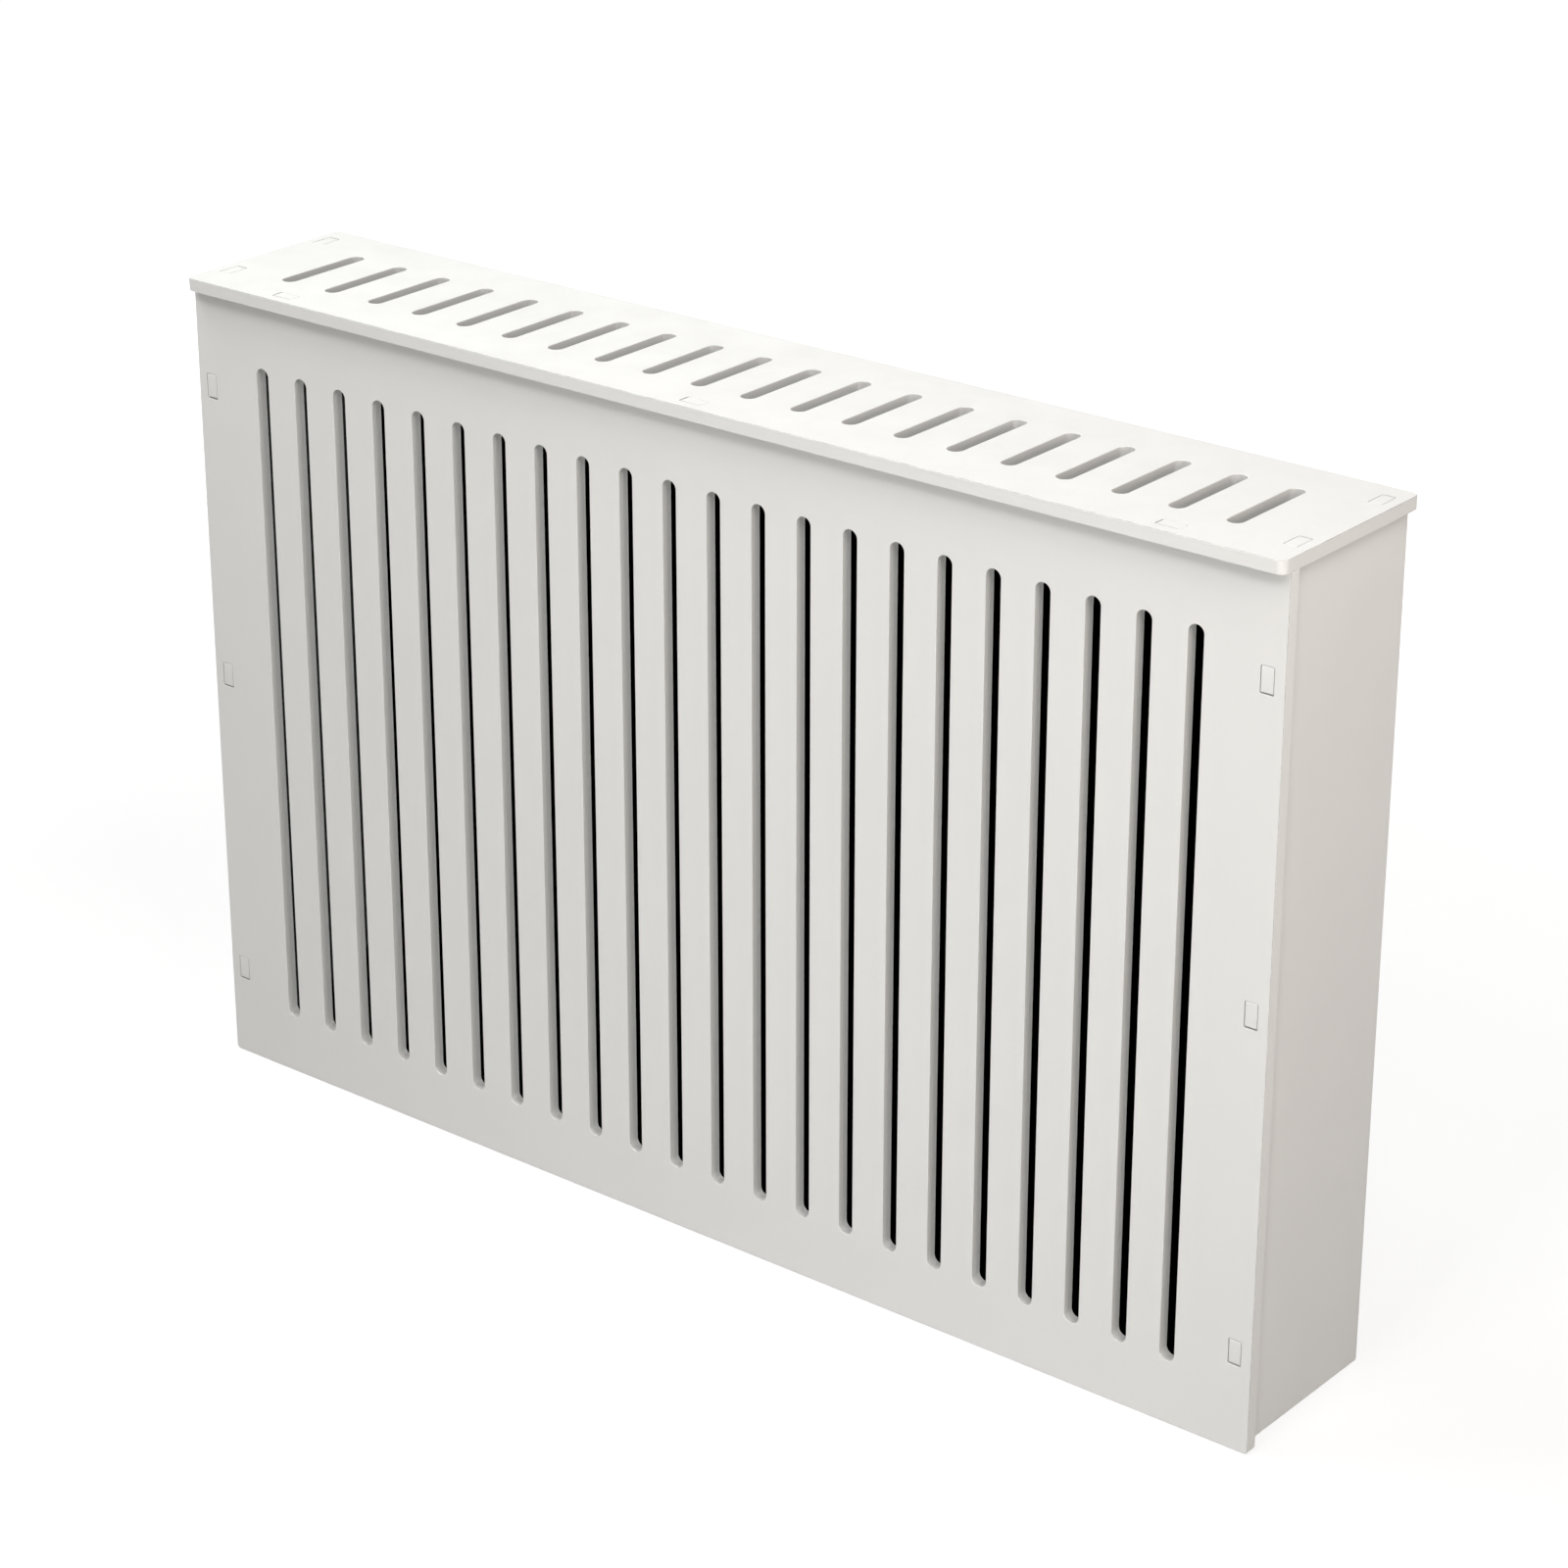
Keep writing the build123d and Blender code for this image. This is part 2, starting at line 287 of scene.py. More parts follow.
def turnTo(a, b):
    # twice the signed area between two flat vectors: positive where b lies to the left of a
    return a[..., 0] * b[..., 1] - a[..., 1] * b[..., 0]


def closedOutline(corners, steps=12):
    # corners are rows of (u, v, corner radius, rim radius), anticlockwise round the board and clockwise
    # round a hole, so that the board is always on the left. Each corner becomes an arc:
    # point = centre + hand * radius * (sin heading, -cos heading), heading going evenly from the side
    # before the corner to the side after it; (sin heading, -cos heading) is also the way out of the board
    corners = np.array(corners, float)
    spot, radius, rim = corners[:, :2], corners[:, 2], corners[:, 3]
    ahead = np.roll(spot, -1, 0) - spot
    ahead /= np.linalg.norm(ahead, axis=1)[:, None]
    behind = np.roll(ahead, 1, 0)
    turn = np.arctan2(turnTo(behind, ahead), (behind * ahead).sum(1))
    hand = np.sign(turn)
    reach = radius * np.tan(np.abs(turn) / 2)
    leftward = np.stack([-behind[:, 1], behind[:, 0]], -1)
    centre = spot - behind * reach[:, None] + leftward * (hand * radius)[:, None]
    heading = np.arctan2(behind[:, 1], behind[:, 0])[:, None] + turn[:, None] * np.linspace(0, 1, steps)
    outward = np.stack([np.sin(heading), -np.cos(heading)], -1)
    points = centre[:, None] + outward * (hand * radius)[:, None, None]
    points, outward = points.reshape(-1, 2), outward.reshape(-1, 2)
    nearest = 1e-6                              # points closer than this, in millimetres, are one
    apart = np.linalg.norm(points - np.roll(points, 1, 0), axis=1) > nearest
    return {"points": points[apart], "outward": outward[apart], "rim": np.repeat(rim, steps)[apart],
            "routed": (0, 0), "edge": (1, 1)}


def roundedHole(middle, width, height, radius, rim, steps, **looks):
    # the four corners of an upright rectangle, clockwise. Its wall takes the whole darker wall tone, bare
    # board and painted shade, and its edge no painted edge shade, unless the looks say otherwise, for the
    # show face and for the back
    (u, v), a, b = middle, width / 2, height / 2
    corners = [(u - a, v + b), (u + a, v + b), (u + a, v - b), (u - a, v - b)]
    outline = closedOutline([(*c, radius, rim) for c in corners], steps)
    outline.update({"routed": (1, 1), "edge": (0, 0), **looks})
    return outline


def rimProfile(outline, thickness, backShare, hold, steps):
    # a profile carried along the outline, one row per step from the show face to the back face:
    # inset = rim * (1 - sin a), depth = rim * (1 - cos a) for a from 0 to 90 degrees, straight through the
    # board, then the same in reverse. A row just before and after each rounding keeps the flats flat.
    # A cone keeps the same ends and goes straight from one to the other.
    a = np.linspace(0, np.pi / 2, steps)
    if outline.get("cone"):
        insetShare, depthShare = 1 - a / a[-1], a / a[-1]
    else:
        insetShare, depthShare = 1 - np.sin(a), 1 - np.cos(a)
    insetShare = np.concatenate([[1], insetShare, [0]])[:, None]
    depthShare = np.concatenate([[0], depthShare, [1]])[:, None]
    extraInset, extraDepth = np.zeros((2, steps + 2, 1))
    extraInset[0] = extraDepth[-1] = hold
    front, back = outline["rim"], outline["rim"] * outline.get("backShare", backShare)
    inset = np.concatenate([insetShare * front + extraInset, (insetShare * back + extraInset)[::-1]])
    depth = np.concatenate([depthShare * front + extraDepth,
                            thickness - (depthShare * back + extraDepth)[::-1]])
    flat = outline["points"][None] - outline["outward"][None] * inset[:, :, None]
    rounded = np.concatenate([[0], np.sin(2 * a), [0]])     # 1 in the middle of the rounding
    wall = np.concatenate([[0], a / a[-1], [1]])            # 0 on the face, 1 on a routed wall
    masks = {}
    for name, share, (atFront, atBack) in (("arris", rounded, (1, 1)), ("edge", rounded, outline["edge"]),
                                           ("wall", wall, outline["routed"])):
        masks[name] = np.repeat(np.concatenate([share * atFront, share[::-1] * atBack]), len(front))
    return np.concatenate([flat, depth[:, :, None]], -1), masks


def fillFlat(rings, cuts):
    # triangles between the outlines of one face: a constrained triangulation, less the triangles whose
    # middle lies outside the board by the even-odd rule
    points = np.concatenate(rings)
    starts = np.cumsum([0] + [len(r) for r in rings])
    edges = np.concatenate([np.stack([np.arange(len(r)), np.roll(np.arange(len(r)), -1)], -1) + s
                            for r, s in zip(rings, starts)])
    extra = np.zeros((0, 2), int)
    if cuts:
        # a cut joins the two points of the outer ring that lie on the line u = cut
        extra = np.array([np.argsort(np.abs(rings[0][:, 0] - cut))[:2] for cut in cuts])
    lines = np.concatenate([edges, extra]).tolist()
    nearest = 1e-7                              # points closer than this are one
    triangles = np.array(delaunay_2d_cdt([Vector(p) for p in points], lines, [], 0, nearest, True)[2])
    a, b = points[edges[:, 0]], points[edges[:, 1]]
    middle = points[triangles].mean(1)
    above = (a[None, :, 1] > middle[:, None, 1]) != (b[None, :, 1] > middle[:, None, 1])
    rise = np.where(b[:, 1] == a[:, 1], 1, b[:, 1] - a[:, 1])
    crossing = a[:, 0] + (middle[:, None, 1] - a[:, 1]) * ((b[:, 0] - a[:, 0]) / rise)
    inside = (above & (middle[:, None, 0] < crossing)).sum(1) % 2 == 1
    triangles = triangles[inside]
    side = points[triangles]
    clockwise = turnTo(side[:, 1] - side[:, 0], side[:, 2] - side[:, 0]) < 0
    triangles[clockwise] = triangles[clockwise][:, ::-1]
    return triangles


def gridQuads(index):
    # faces between the rows of a grid of point numbers, each row closed round
    across = np.roll(index, -1, 1)
    return np.stack([index[:-1], index[1:], across[1:], across[:-1]], -1).reshape(-1, 4)


def boardSurface(outlines, thickness, backShare, hold=0.2, steps=6, cuts=()):
    # outer outline first, then the holes: rims from rimProfile, both faces from fillFlat.
    # Gives points (u, v, depth) in millimetres, faces and the masks: every rounding, those of the outer
    # outline alone, and the routed walls
    grids, parts, indices, faces = [], [], [], []
    start = 0
    for outline in outlines:
        grid, mask = rimProfile(outline, thickness, backShare, hold, steps)
        indices.append(start + np.arange(grid[..., 0].size).reshape(grid.shape[:2]))
        start += indices[-1].size
        faces += gridQuads(indices[-1]).tolist()
        grids.append(grid)
        parts.append(mask)
    for row, way in ((0, 1), (-1, -1)):
        flat = fillFlat([grid[row, :, :2] for grid in grids], cuts)
        faces += np.concatenate([index[row] for index in indices])[flat][:, ::way].tolist()
    masks = {name: np.concatenate([mask[name] for mask in parts]) for name in parts[0]}
    return np.concatenate([grid.reshape(-1, 3) for grid in grids]), faces, masks


def placed(points, origin, along, up):
    # (u, v, depth) in millimetres to the frame in metres: origin + u along + v up + depth inwards,
    # inwards being against along x up, so that the show face looks along it
    along, up = np.array(along, float), np.array(up, float)
    axes = np.stack([along, up, -np.cross(along, up)])
    return np.array(origin, float) + points @ axes * mm


def makePiece(name, points, faces, masks, material, node):
    mesh = bpy.data.meshes.new(name)
    mesh.from_pydata(points.tolist(), [], faces)
    mesh.polygons.foreach_set("use_smooth", np.ones(len(mesh.polygons), bool))
    for mask, values in masks.items():
        kind, field = ("FLOAT_VECTOR", "vector") if np.ndim(values) == 2 else ("FLOAT", "value")
        layer = mesh.attributes.new(mask, kind, "POINT")
        layer.data.foreach_set(field, np.ravel(values).astype(np.float32))
    mesh.update()
    mesh.materials.append(material)
    piece = addObject(name, mesh)
    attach(piece, "root")
    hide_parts(node)


def newGroup(name, inputs, outputs):
    # an input's starting value tells its kind: none for a vector, three numbers for a colour, one for a
    # value
    group = bpy.data.node_groups.new(name, "ShaderNodeTree")
    for label, value in inputs.items():
        kind = "Vector" if value is None else "Color" if isinstance(value, tuple) else "Float"
        socket = group.interface.new_socket(name=label, in_out="INPUT", socket_type="NodeSocket" + kind)
        if value is not None:
            feed(group, value, socket)
    for label, kind in outputs.items():
        group.interface.new_socket(name=label, in_out="OUTPUT", socket_type="NodeSocket" + kind)
    come, go = group.nodes.new("NodeGroupInput"), group.nodes.new("NodeGroupOutput")
    come.location, go.location = (-1200, 0), (900, 0)
    return group, come.outputs, go.inputs


def noiseNode(tree, coordinate, scale, detail, roughness, place):
    node = addNode(tree, "TexNoise", place)
    values = {"Vector": coordinate, "Scale": scale, "Detail": detail, "Roughness": roughness}
    for label, value in values.items():
        feed(tree, value, node.inputs[label])
    return node.outputs["Fac"]


def cellNode(tree, coordinate, scale, place):
    node = addNode(tree, "TexVoronoi", place)
    feed(tree, coordinate, node.inputs["Vector"])
    feed(tree, scale, node.inputs["Scale"])
    return node.outputs["Distance"]


def stretchNode(tree, coordinate, scale, place, shift=(0, 0, 0)):
    node = addNode(tree, "Mapping", place)
    feed(tree, coordinate, node.inputs["Vector"])
    node.inputs["Location"].default_value = shift
    node.inputs["Scale"].default_value = scale
    return node.outputs[0]


def blendNode(tree, factor, a, b, place):
    node = addNode(tree, "Mix", place, data_type="RGBA", blend_type="MIX")
    for value, socket in zip((factor, a, b), (node.inputs[0], node.inputs[6], node.inputs[7])):
        feed(tree, value, socket)
    return node.outputs[2]


# each noise, here and in the finishes below, is given by its scale, detail and roughness. A span is the
# part of a texture's values that is used
filmLook = {
    "drift": (3.2, 2.0, 0.5), "driftSpan": (0.35, 0.65), "driftShare": 0.65,
    "cloud": (21.0, 3.0, 0.55), "span": (0.3, 0.7), "cloudShare": 0.35,
    "peel": (620.0, 1.5, 0.4), "peelHeight": 0.55, "ripple": (95.0, 1.0, 0.4),
    "rough": (0.40, 0.47), "peelRough": (-0.015, 0.015),
    "nibScale": 120.0, "nibRadius": 0.05, "nibFrom": 0.62,
}


def makePaintFilm(look):
    # sprayed paint: slow drift in tone, orange peel, and a few nibs of dust under the film
    group, come, go = newGroup("Paint Film", {
        "Coordinate": None, "Colour": (0.8, 0.8, 0.8), "Shade": (0.7, 0.7, 0.7),
        "Drift": 0.3, "Peel": 1.0, "Nibs": 0.2,
    }, {"Colour": "Color", "Roughness": "Float", "Height": "Float"})
    spot = come["Coordinate"]
    drift, cloud, peel, ripple = [noiseNode(group, spot, *look[name], (-900, 300 - 200 * row))
                                  for row, name in enumerate(("drift", "cloud", "peel", "ripple"))]
    cells = cellNode(group, spot, look["nibScale"], (-900, -500))
    nibDot = rangeNode(group, cells, (look["nibRadius"], 0.0), (0, 1), (-700, -500))
    nibPick = mathNode(group, "GREATER_THAN", cloud, look["nibFrom"], (-700, -650))
    nibs = times(group, times(group, nibDot, nibPick, (-500, -500)), come["Nibs"], (-300, -500))
    tone = plus(group, rangeNode(group, drift, look["driftSpan"], (0, look["driftShare"]), (-700, 300)),
                rangeNode(group, cloud, look["span"], (0, look["cloudShare"]), (-700, 100)), (-500, 250))
    drifted = times(group, tone, come["Drift"], (-300, 250))
    feed(group, blendNode(group, drifted, come["Colour"], come["Shade"], (-100, 250)), go["Colour"])
    rough = plus(group, rangeNode(group, cloud, look["span"], look["rough"], (-300, 0), False),
                 rangeNode(group, peel, look["span"], look["peelRough"], (-300, -150), False), (-100, 0))
    feed(group, rough, go["Roughness"])
    bumps = plus(group, times(group, peel, look["peelHeight"], (-500, -150)), ripple, (-300, -300))
    feed(group, plus(group, times(group, bumps, come["Peel"], (-100, -300)), nibs, (100, -300)), go["Height"])
    return group


rubLook = {"detail": 5.0, "roughness": 0.5, "breaks": (0.42, 0.66)}


def makeEdgeRub(look):
    # where a rounded edge is handled, the film is thin and scuffed: a broken mask along the arris, which on
    # the painted board also lays a painted highlight
    group, come, go = newGroup("Edge Rub", {"Coordinate": None, "Arris": 0.0, "Amount": 0.5, "Scale": 60.0},
                               {"Mask": "Float", "Shine": "Float"})
    wornAndHighlight = noiseNode(group, come["Coordinate"], come["Scale"], look["detail"], look["roughness"], (-900, 100))
    broken = rangeNode(group, wornAndHighlight, look["breaks"], (0, 1), (-600, 100))
    wearAndHighlight = times(group, broken, come["Arris"], (-300, 100))
    feed(group, times(group, wearAndHighlight, come["Amount"], (0, 100), True), go["Mask"])
    feed(group, times(group, come["Arris"], come["Amount"], (0, -100), True), go["Shine"])
    return group


dustLook = {"noise": (38.0, 6.0, 0.65), "patches": (0.38, 0.72), "least": 0.1, "upward": (0.55, 0.95)}


def makeSettledDust(look):
    # dust lies on what looks up, in patches
    group, come, go = newGroup("Settled Dust", {"Coordinate": None, "Amount": 0.3}, {"Mask": "Float"})
    split = addNode(group, "SeparateXYZ", (-700, 0))
    feed(group, addNode(group, "NewGeometry", (-900, 0)).outputs["Normal"], split.inputs[0])
    upward = rangeNode(group, split.outputs["Z"], look["upward"], (0, 1), (-500, 0))
    drifts = noiseNode(group, come["Coordinate"], *look["noise"], (-900, -250))
    patch = rangeNode(group, drifts, look["patches"], (look["least"], 1.0), (-500, -250))
    dusty = times(group, upward, patch, (-200, 0))
    feed(group, times(group, dusty, come["Amount"], (100, 0), True), go["Mask"])
    return group


skinLook = {
    "crystals": 1400.0, "crystalSpan": (0, 0.8), "crystalShare": 0.22, "crystalHeight": 0.25,
    "clouds": (130.0, 3.0, 0.5), "cloudSpan": (0.4, 0.7), "cloudShare": 0.8,
    "dull": (0.5, 0.5, 0.51), "rough": (0.24, 0.36), "drawnRough": (-0.04, 0.07),
    "drawn": (1.0, 3.0, 0.6), "drawnStretch": (160, 160, 6000), "drawnSpan": (0.35, 0.65),
}


def makeZincSkin(look):
    # bright zinc plate: fine crystals, drawing lines and a slight blue to yellow drift
    group, come, go = newGroup("Zinc Skin", {
        "Coordinate": None, "Colour": (0.7, 0.71, 0.72), "Tint": (0.74, 0.70, 0.6), "Lines": 0.5,
    }, {"Colour": "Color", "Roughness": "Float", "Height": "Float"})
    spot = come["Coordinate"]
    crystal = cellNode(group, spot, look["crystals"], (-900, 200))
    clouds = noiseNode(group, spot, *look["clouds"], (-900, 0))
    drift = rangeNode(group, clouds, look["cloudSpan"], (0, look["cloudShare"]), (-600, 0))
    stretched = stretchNode(group, spot, look["drawnStretch"], (-1100, -250))
    drawn = noiseNode(group, stretched, *look["drawn"], (-900, -250))
    tinted = blendNode(group, drift, come["Colour"], come["Tint"], (-300, 200))
    speckle = rangeNode(group, crystal, look["crystalSpan"], (0, look["crystalShare"]), (-600, 300), False)
    feed(group, blendNode(group, speckle, tinted, look["dull"], (0, 200)), go["Colour"])
    dullness = rangeNode(group, crystal, look["crystalSpan"], look["rough"], (-600, -100), False)
    streaks = rangeNode(group, drawn, look["drawnSpan"], look["drawnRough"], (-600, -250), False)
    feed(group, plus(group, dullness, streaks, (-300, -100)), go["Roughness"])
    lines = times(group, drawn, come["Lines"], (-300, -300))
    grains = times(group, crystal, look["crystalHeight"], (-300, -450))
    feed(group, plus(group, lines, grains, (0, -300)), go["Height"])
    return group


paintFilm = makePaintFilm(filmLook)
edgeRub = makeEdgeRub(rubLook)
settledDust = makeSettledDust(dustLook)
zincSkin = makeZincSkin(skinLook)


def newMaterial(name, metallic=0.0):
    material = bpy.data.materials.new(name)
    material.use_nodes = True
    tree = material.node_tree
    shader = tree.nodes["Principled BSDF"]
    shader.inputs["Metallic"].default_value = metallic
    return material, tree, shader, addNode(tree, "TexCoord", (-1600, 0)).outputs["Object"]


def placeGroup(tree, group, place, **values):
    node = addNode(tree, "Group", place, node_tree=group)
    for label, value in values.items():
        feed(tree, value, node.inputs[label])
    return node.outputs


def maskNode(tree, name, place):
    return addNode(tree, "Attribute", place, attribute_name=name).outputs["Fac"]


def placeFilm(tree, spot, look):
    return placeGroup(tree, paintFilm, (-1250, 250), Coordinate=spot, Colour=look["colour"],
                      Shade=look["shade"], Drift=look["drift"], Peel=look["peel"], Nibs=look["nibs"])


def placeWear(tree, spot, look):
    # scuffed edges, on the painted board a painted highlight as well, and settled dust, which every finish
    # has
    arris = maskNode(tree, "arris", (-1600, -250))
    rub = placeGroup(tree, edgeRub, (-1250, -150), Coordinate=spot, Arris=arris, Amount=look["rub"],
                     Scale=look["rubScale"])
    return rub, placeGroup(tree, settledDust, (-1250, -350), Coordinate=spot, Amount=look["dust"])["Mask"]


def bumpOn(tree, shader, height, strength, distance):
    bump = addNode(tree, "Bump", (-250, -300))
    for value, label in ((strength, "Strength"), (distance, "Distance"), (height, "Height")):
        feed(tree, value, bump.inputs[label])
    feed(tree, bump.outputs[0], shader.inputs["Normal"])


boardPaint = {
    "colour": (0.86, 0.853, 0.835), "shade": (0.80, 0.797, 0.785), "drift": 0.35, "peel": 1.0, "nibs": 0.25,
    "wall": (0.56, 0.56, 0.55), "wallShare": 0.8, "wallRough": 0.22,       # the routed walls are darker, bare board and painted shade
    "fibre": (0.6, 0.58, 0.55), "fibreNoise": (900.0, 4.0, 0.7), "fibreSpan": (0.45, 0.75),
    "fibreShare": 0.25, "fibreHeight": 2.0, "dragNoise": (260.0, 2.0, 0.5), "dragSpan": (0.3, 0.7),
    # the colour and the strength of the painted shade along the outer arrises
    "edge": (0.36, 0.355, 0.345), "edgeShadeShare": (0.6, 0.95),
    "wornAndHighlight": (0.93, 0.93, 0.92), "rub": 0.25, "rubScale": 70.0, "shine": 0.12,
    "dusty": (0.66, 0.64, 0.60), "dust": 0.10, "dustRough": 0.8,
    "bump": (0.25, 0.00008),
}


def makeBoardMaterial(look):
    material, tree, shader, spot = newMaterial("satinPaintOnBoard")
    film = placeFilm(tree, spot, look)
    rub, dust = placeWear(tree, spot, look)
    wall, edge = maskNode(tree, "wall", (-1600, -450)), maskNode(tree, "edge", (-950, -950))
    fibre = noiseNode(tree, spot, *look["fibreNoise"], (-1250, -550))   # raised board fibre on routed walls
    drag = noiseNode(tree, spot, *look["dragNoise"], (-1250, -750))
    # painted shade with bare board: the walls take the darker tone as far as their routed mask reaches
    bareAndShade = times(tree, wall, look["wallShare"], (-950, 50))
    routed = blendNode(tree, bareAndShade, film["Colour"], look["wall"], (-750, 250))
    raisedFibre = rangeNode(tree, fibre, look["fibreSpan"], (0, look["fibreShare"]), (-950, -550))
    fibreMask = times(tree, wall, raisedFibre, (-750, -500))
    fibred = blendNode(tree, fibreMask, routed, look["fibre"], (-550, 250))
    # painted shade: the outer arrises are darkened to a thin dark line, the shade of the rounding, broken by
    # the drag noise
    edgeShadeAmount = rangeNode(tree, drag, look["dragSpan"], look["edgeShadeShare"], (-750, -850), False)
    edgeShaded = blendNode(tree, times(tree, edge, edgeShadeAmount, (-550, -850)), fibred, look["edge"], (-450, 250))
    # painted highlight along with wear: the broken mask lightens the board's arrises toward a paler colour
    wearAndHighlight = blendNode(tree, rub["Mask"], edgeShaded, look["wornAndHighlight"], (-350, 250))
    feed(tree, blendNode(tree, dust, wearAndHighlight, look["dusty"], (-150, 250)), shader.inputs["Base Color"])
    wallRough = plus(tree, film["Roughness"], times(tree, wall, look["wallRough"], (-750, -50)), (-550, -50))
    rough = plus(tree, wallRough, times(tree, dust, look["dustRough"], (-550, -200)), (-350, -50), True)
    shine = times(tree, rub["Shine"], look["shine"], (-350, -180))
    feed(tree, mathNode(tree, "SUBTRACT", rough, shine, (-200, -50), True), shader.inputs["Roughness"])
    fibreHeight = times(tree, plus(tree, fibre, drag, (-950, -700)), wall, (-750, -700))
    raised = times(tree, fibreHeight, look["fibreHeight"], (-550, -700))
    bumpOn(tree, shader, plus(tree, film["Height"], raised, (-400, -400)), *look["bump"])
    return material


battenPaint = {
    "colour": (0.82, 0.81, 0.785), "shade": (0.74, 0.725, 0.69), "drift": 0.6, "peel": 0.6, "nibs": 0.4,
    "filmRough": 0.14, "grain": (0.62, 0.56, 0.47), "grainRough": 0.25, "grainHeight": 1.6,
    "rub": 0.5, "rubScale": 90.0, "dusty": (0.62, 0.60, 0.56), "dust": 0.22, "bump": (0.35, 0.00012),
    "ringWidth": 0.0022, "pith": (0.011, 0.034, 0.0),       # metres, the pith lying outside the batten
    "ringStretch": (1, 1, 0.05), "ringSpan": (0.35, 0.95), "ringShare": 0.34,
    "ringDistortion": 3.0, "ringDetail": 3.0, "ringDetailScale": 0.8,
    "strandStretch": (1500, 1500, 12), "strandNoise": (1.0, 3.0, 0.6), "strandSpan": (0.3, 0.7),
    "strandShare": (0.6, 1.0),
}
waveRun = 0.314         # metres between rings in a wave texture of scale 1


def makeBattenMaterial(look):
    # thin paint over planed softwood: the year rings show through, from the piece's own section coordinates
    material, tree, shader, spot = newMaterial("thinPaintOnSoftwood")
    section = addNode(tree, "Attribute", (-1900, -500), attribute_name="section").outputs["Vector"]
    film = placeFilm(tree, spot, look)
    rub, dust = placeWear(tree, spot, look)
    wave = addNode(tree, "TexWave", (-1450, -550), wave_type="RINGS", rings_direction="Z",
                   wave_profile="SAW")
    trunk = stretchNode(tree, section, look["ringStretch"], (-1700, -500), look["pith"])
    feed(tree, trunk, wave.inputs["Vector"])
    feed(tree, waveRun / look["ringWidth"], wave.inputs["Scale"])
    for label in ("Distortion", "Detail", "Detail Scale"):
        feed(tree, look["ring" + label.replace(" ", "")], wave.inputs[label])
    rings = rangeNode(tree, wave.outputs["Fac"], look["ringSpan"], (0, look["ringShare"]), (-1200, -550))
    stretched = stretchNode(tree, section, look["strandStretch"], (-1500, -900))
    strands = noiseNode(tree, stretched, *look["strandNoise"], (-1250, -800))
    broken = rangeNode(tree, strands, look["strandSpan"], look["strandShare"], (-1050, -800), False)
    grain = times(tree, rings, broken, (-950, -550))
    grained = blendNode(tree, grain, film["Colour"], look["grain"], (-650, 250))
    wearAndHighlight = blendNode(tree, rub["Mask"], grained, look["grain"], (-450, 250))
    feed(tree, blendNode(tree, dust, wearAndHighlight, look["dusty"], (-250, 250)), shader.inputs["Base Color"])
    filmRough = plus(tree, film["Roughness"], look["filmRough"], (-700, -50))
    rough = plus(tree, filmRough, times(tree, grain, look["grainRough"], (-700, -200)), (-450, -50), True)
    feed(tree, rough, shader.inputs["Roughness"])
    raised = times(tree, plus(tree, grain, strands, (-700, -500)), look["grainHeight"], (-550, -500))
    bumpOn(tree, shader, plus(tree, film["Height"], raised, (-400, -400)), *look["bump"])
    return material


zincLook = {
    "wornAndHighlight": (0.82, 0.82, 0.81), "rubScale": 400.0, "dusty": (0.42, 0.40, 0.37), "dust": 0.25,
    "dustRough": 0.9, "bump": (0.3, 0.00004),
}
bracketLook = {
    "name": "zincPlatedSteel", "colour": (0.46, 0.47, 0.485), "tint": (0.52, 0.48, 0.40), "lines": 0.6,
    "rub": 0.35, **zincLook,
}
screwLook = {
    "name": "zincPlatedScrewSteel", "colour": (0.42, 0.42, 0.43), "tint": (0.52, 0.46, 0.34), "lines": 0.3,
    "rub": 0.6, **zincLook,
}


def makeZincMaterial(look):
    material, tree, shader, spot = newMaterial(look["name"], metallic=1.0)
    skin = placeGroup(tree, zincSkin, (-1250, 250), Coordinate=spot, Colour=look["colour"], Tint=look["tint"],
                      Lines=look["lines"])
    rub, dust = placeWear(tree, spot, look)
    bright = blendNode(tree, rub["Mask"], skin["Colour"], look["wornAndHighlight"], (-650, 250))
    feed(tree, blendNode(tree, dust, bright, look["dusty"], (-400, 250)), shader.inputs["Base Color"])
    rough = plus(tree, skin["Roughness"], times(tree, dust, look["dustRough"], (-700, -100)), (-450, 0), True)
    feed(tree, rough, shader.inputs["Roughness"])
    bumpOn(tree, shader, skin["Height"], *look["bump"])
    return material


paintedBoard = makeBoardMaterial(boardPaint)
paintedBatten = makeBattenMaterial(battenPaint)
zincSteel = makeZincMaterial(bracketLook)
screwSteel = makeZincMaterial(screwLook)
print("finishes ready")


def inMm(node):
    low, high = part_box(node)
    return np.array(low) / mm, np.array(high) / mm


lidLow, lidHigh = inMm("top_panel")
frontLow, frontHigh = inMm("front_panel")
rightLow, rightHigh = inMm("side_panel_right")
board = lidHigh[2] - lidLow[2]                  # every panel is cut from the same board
width = lidHigh[0] - lidLow[0]
bodyHeight = lidLow[2]                          # the other three panels end under the lid
sideMiddle = (rightLow[0] + rightHigh[0]) / 2
frontMiddle = (frontLow[1] + frontHigh[1]) / 2
rearEdge = rightHigh[1]

# from here on, all sizes and places are in millimetres
sideTabIn, frontTabIn = 69.7, 86.0              # from each end of the edge to its outermost tab
tabs = {
    "length": 17.3, "tipRadius": 1.1, "rootRadius": 0.6, "rim": 0.4,
    "sideHeights": (sideTabIn, bodyHeight / 2 + 8.4, bodyHeight - sideTabIn),
    "lift": 0.25,       # the front panel hangs on the side tabs, so their gap is below
    "sideTopPlaces": (frontHigh[1] + 17, rearEdge - 24),
    "frontPlaces": (frontTabIn - width / 2, 0.0, width / 2 - frontTabIn),
}
# every tab was pushed home to one side of its mortise, so the gap is wider on the other
mortises = {
    "gap": 0.4, "radius": 1.2, "rim": 0.3, "lidRim": 0.25, "steps": 6,
    "shift": (-0.15, 0.2), "endShift": -0.25,
}


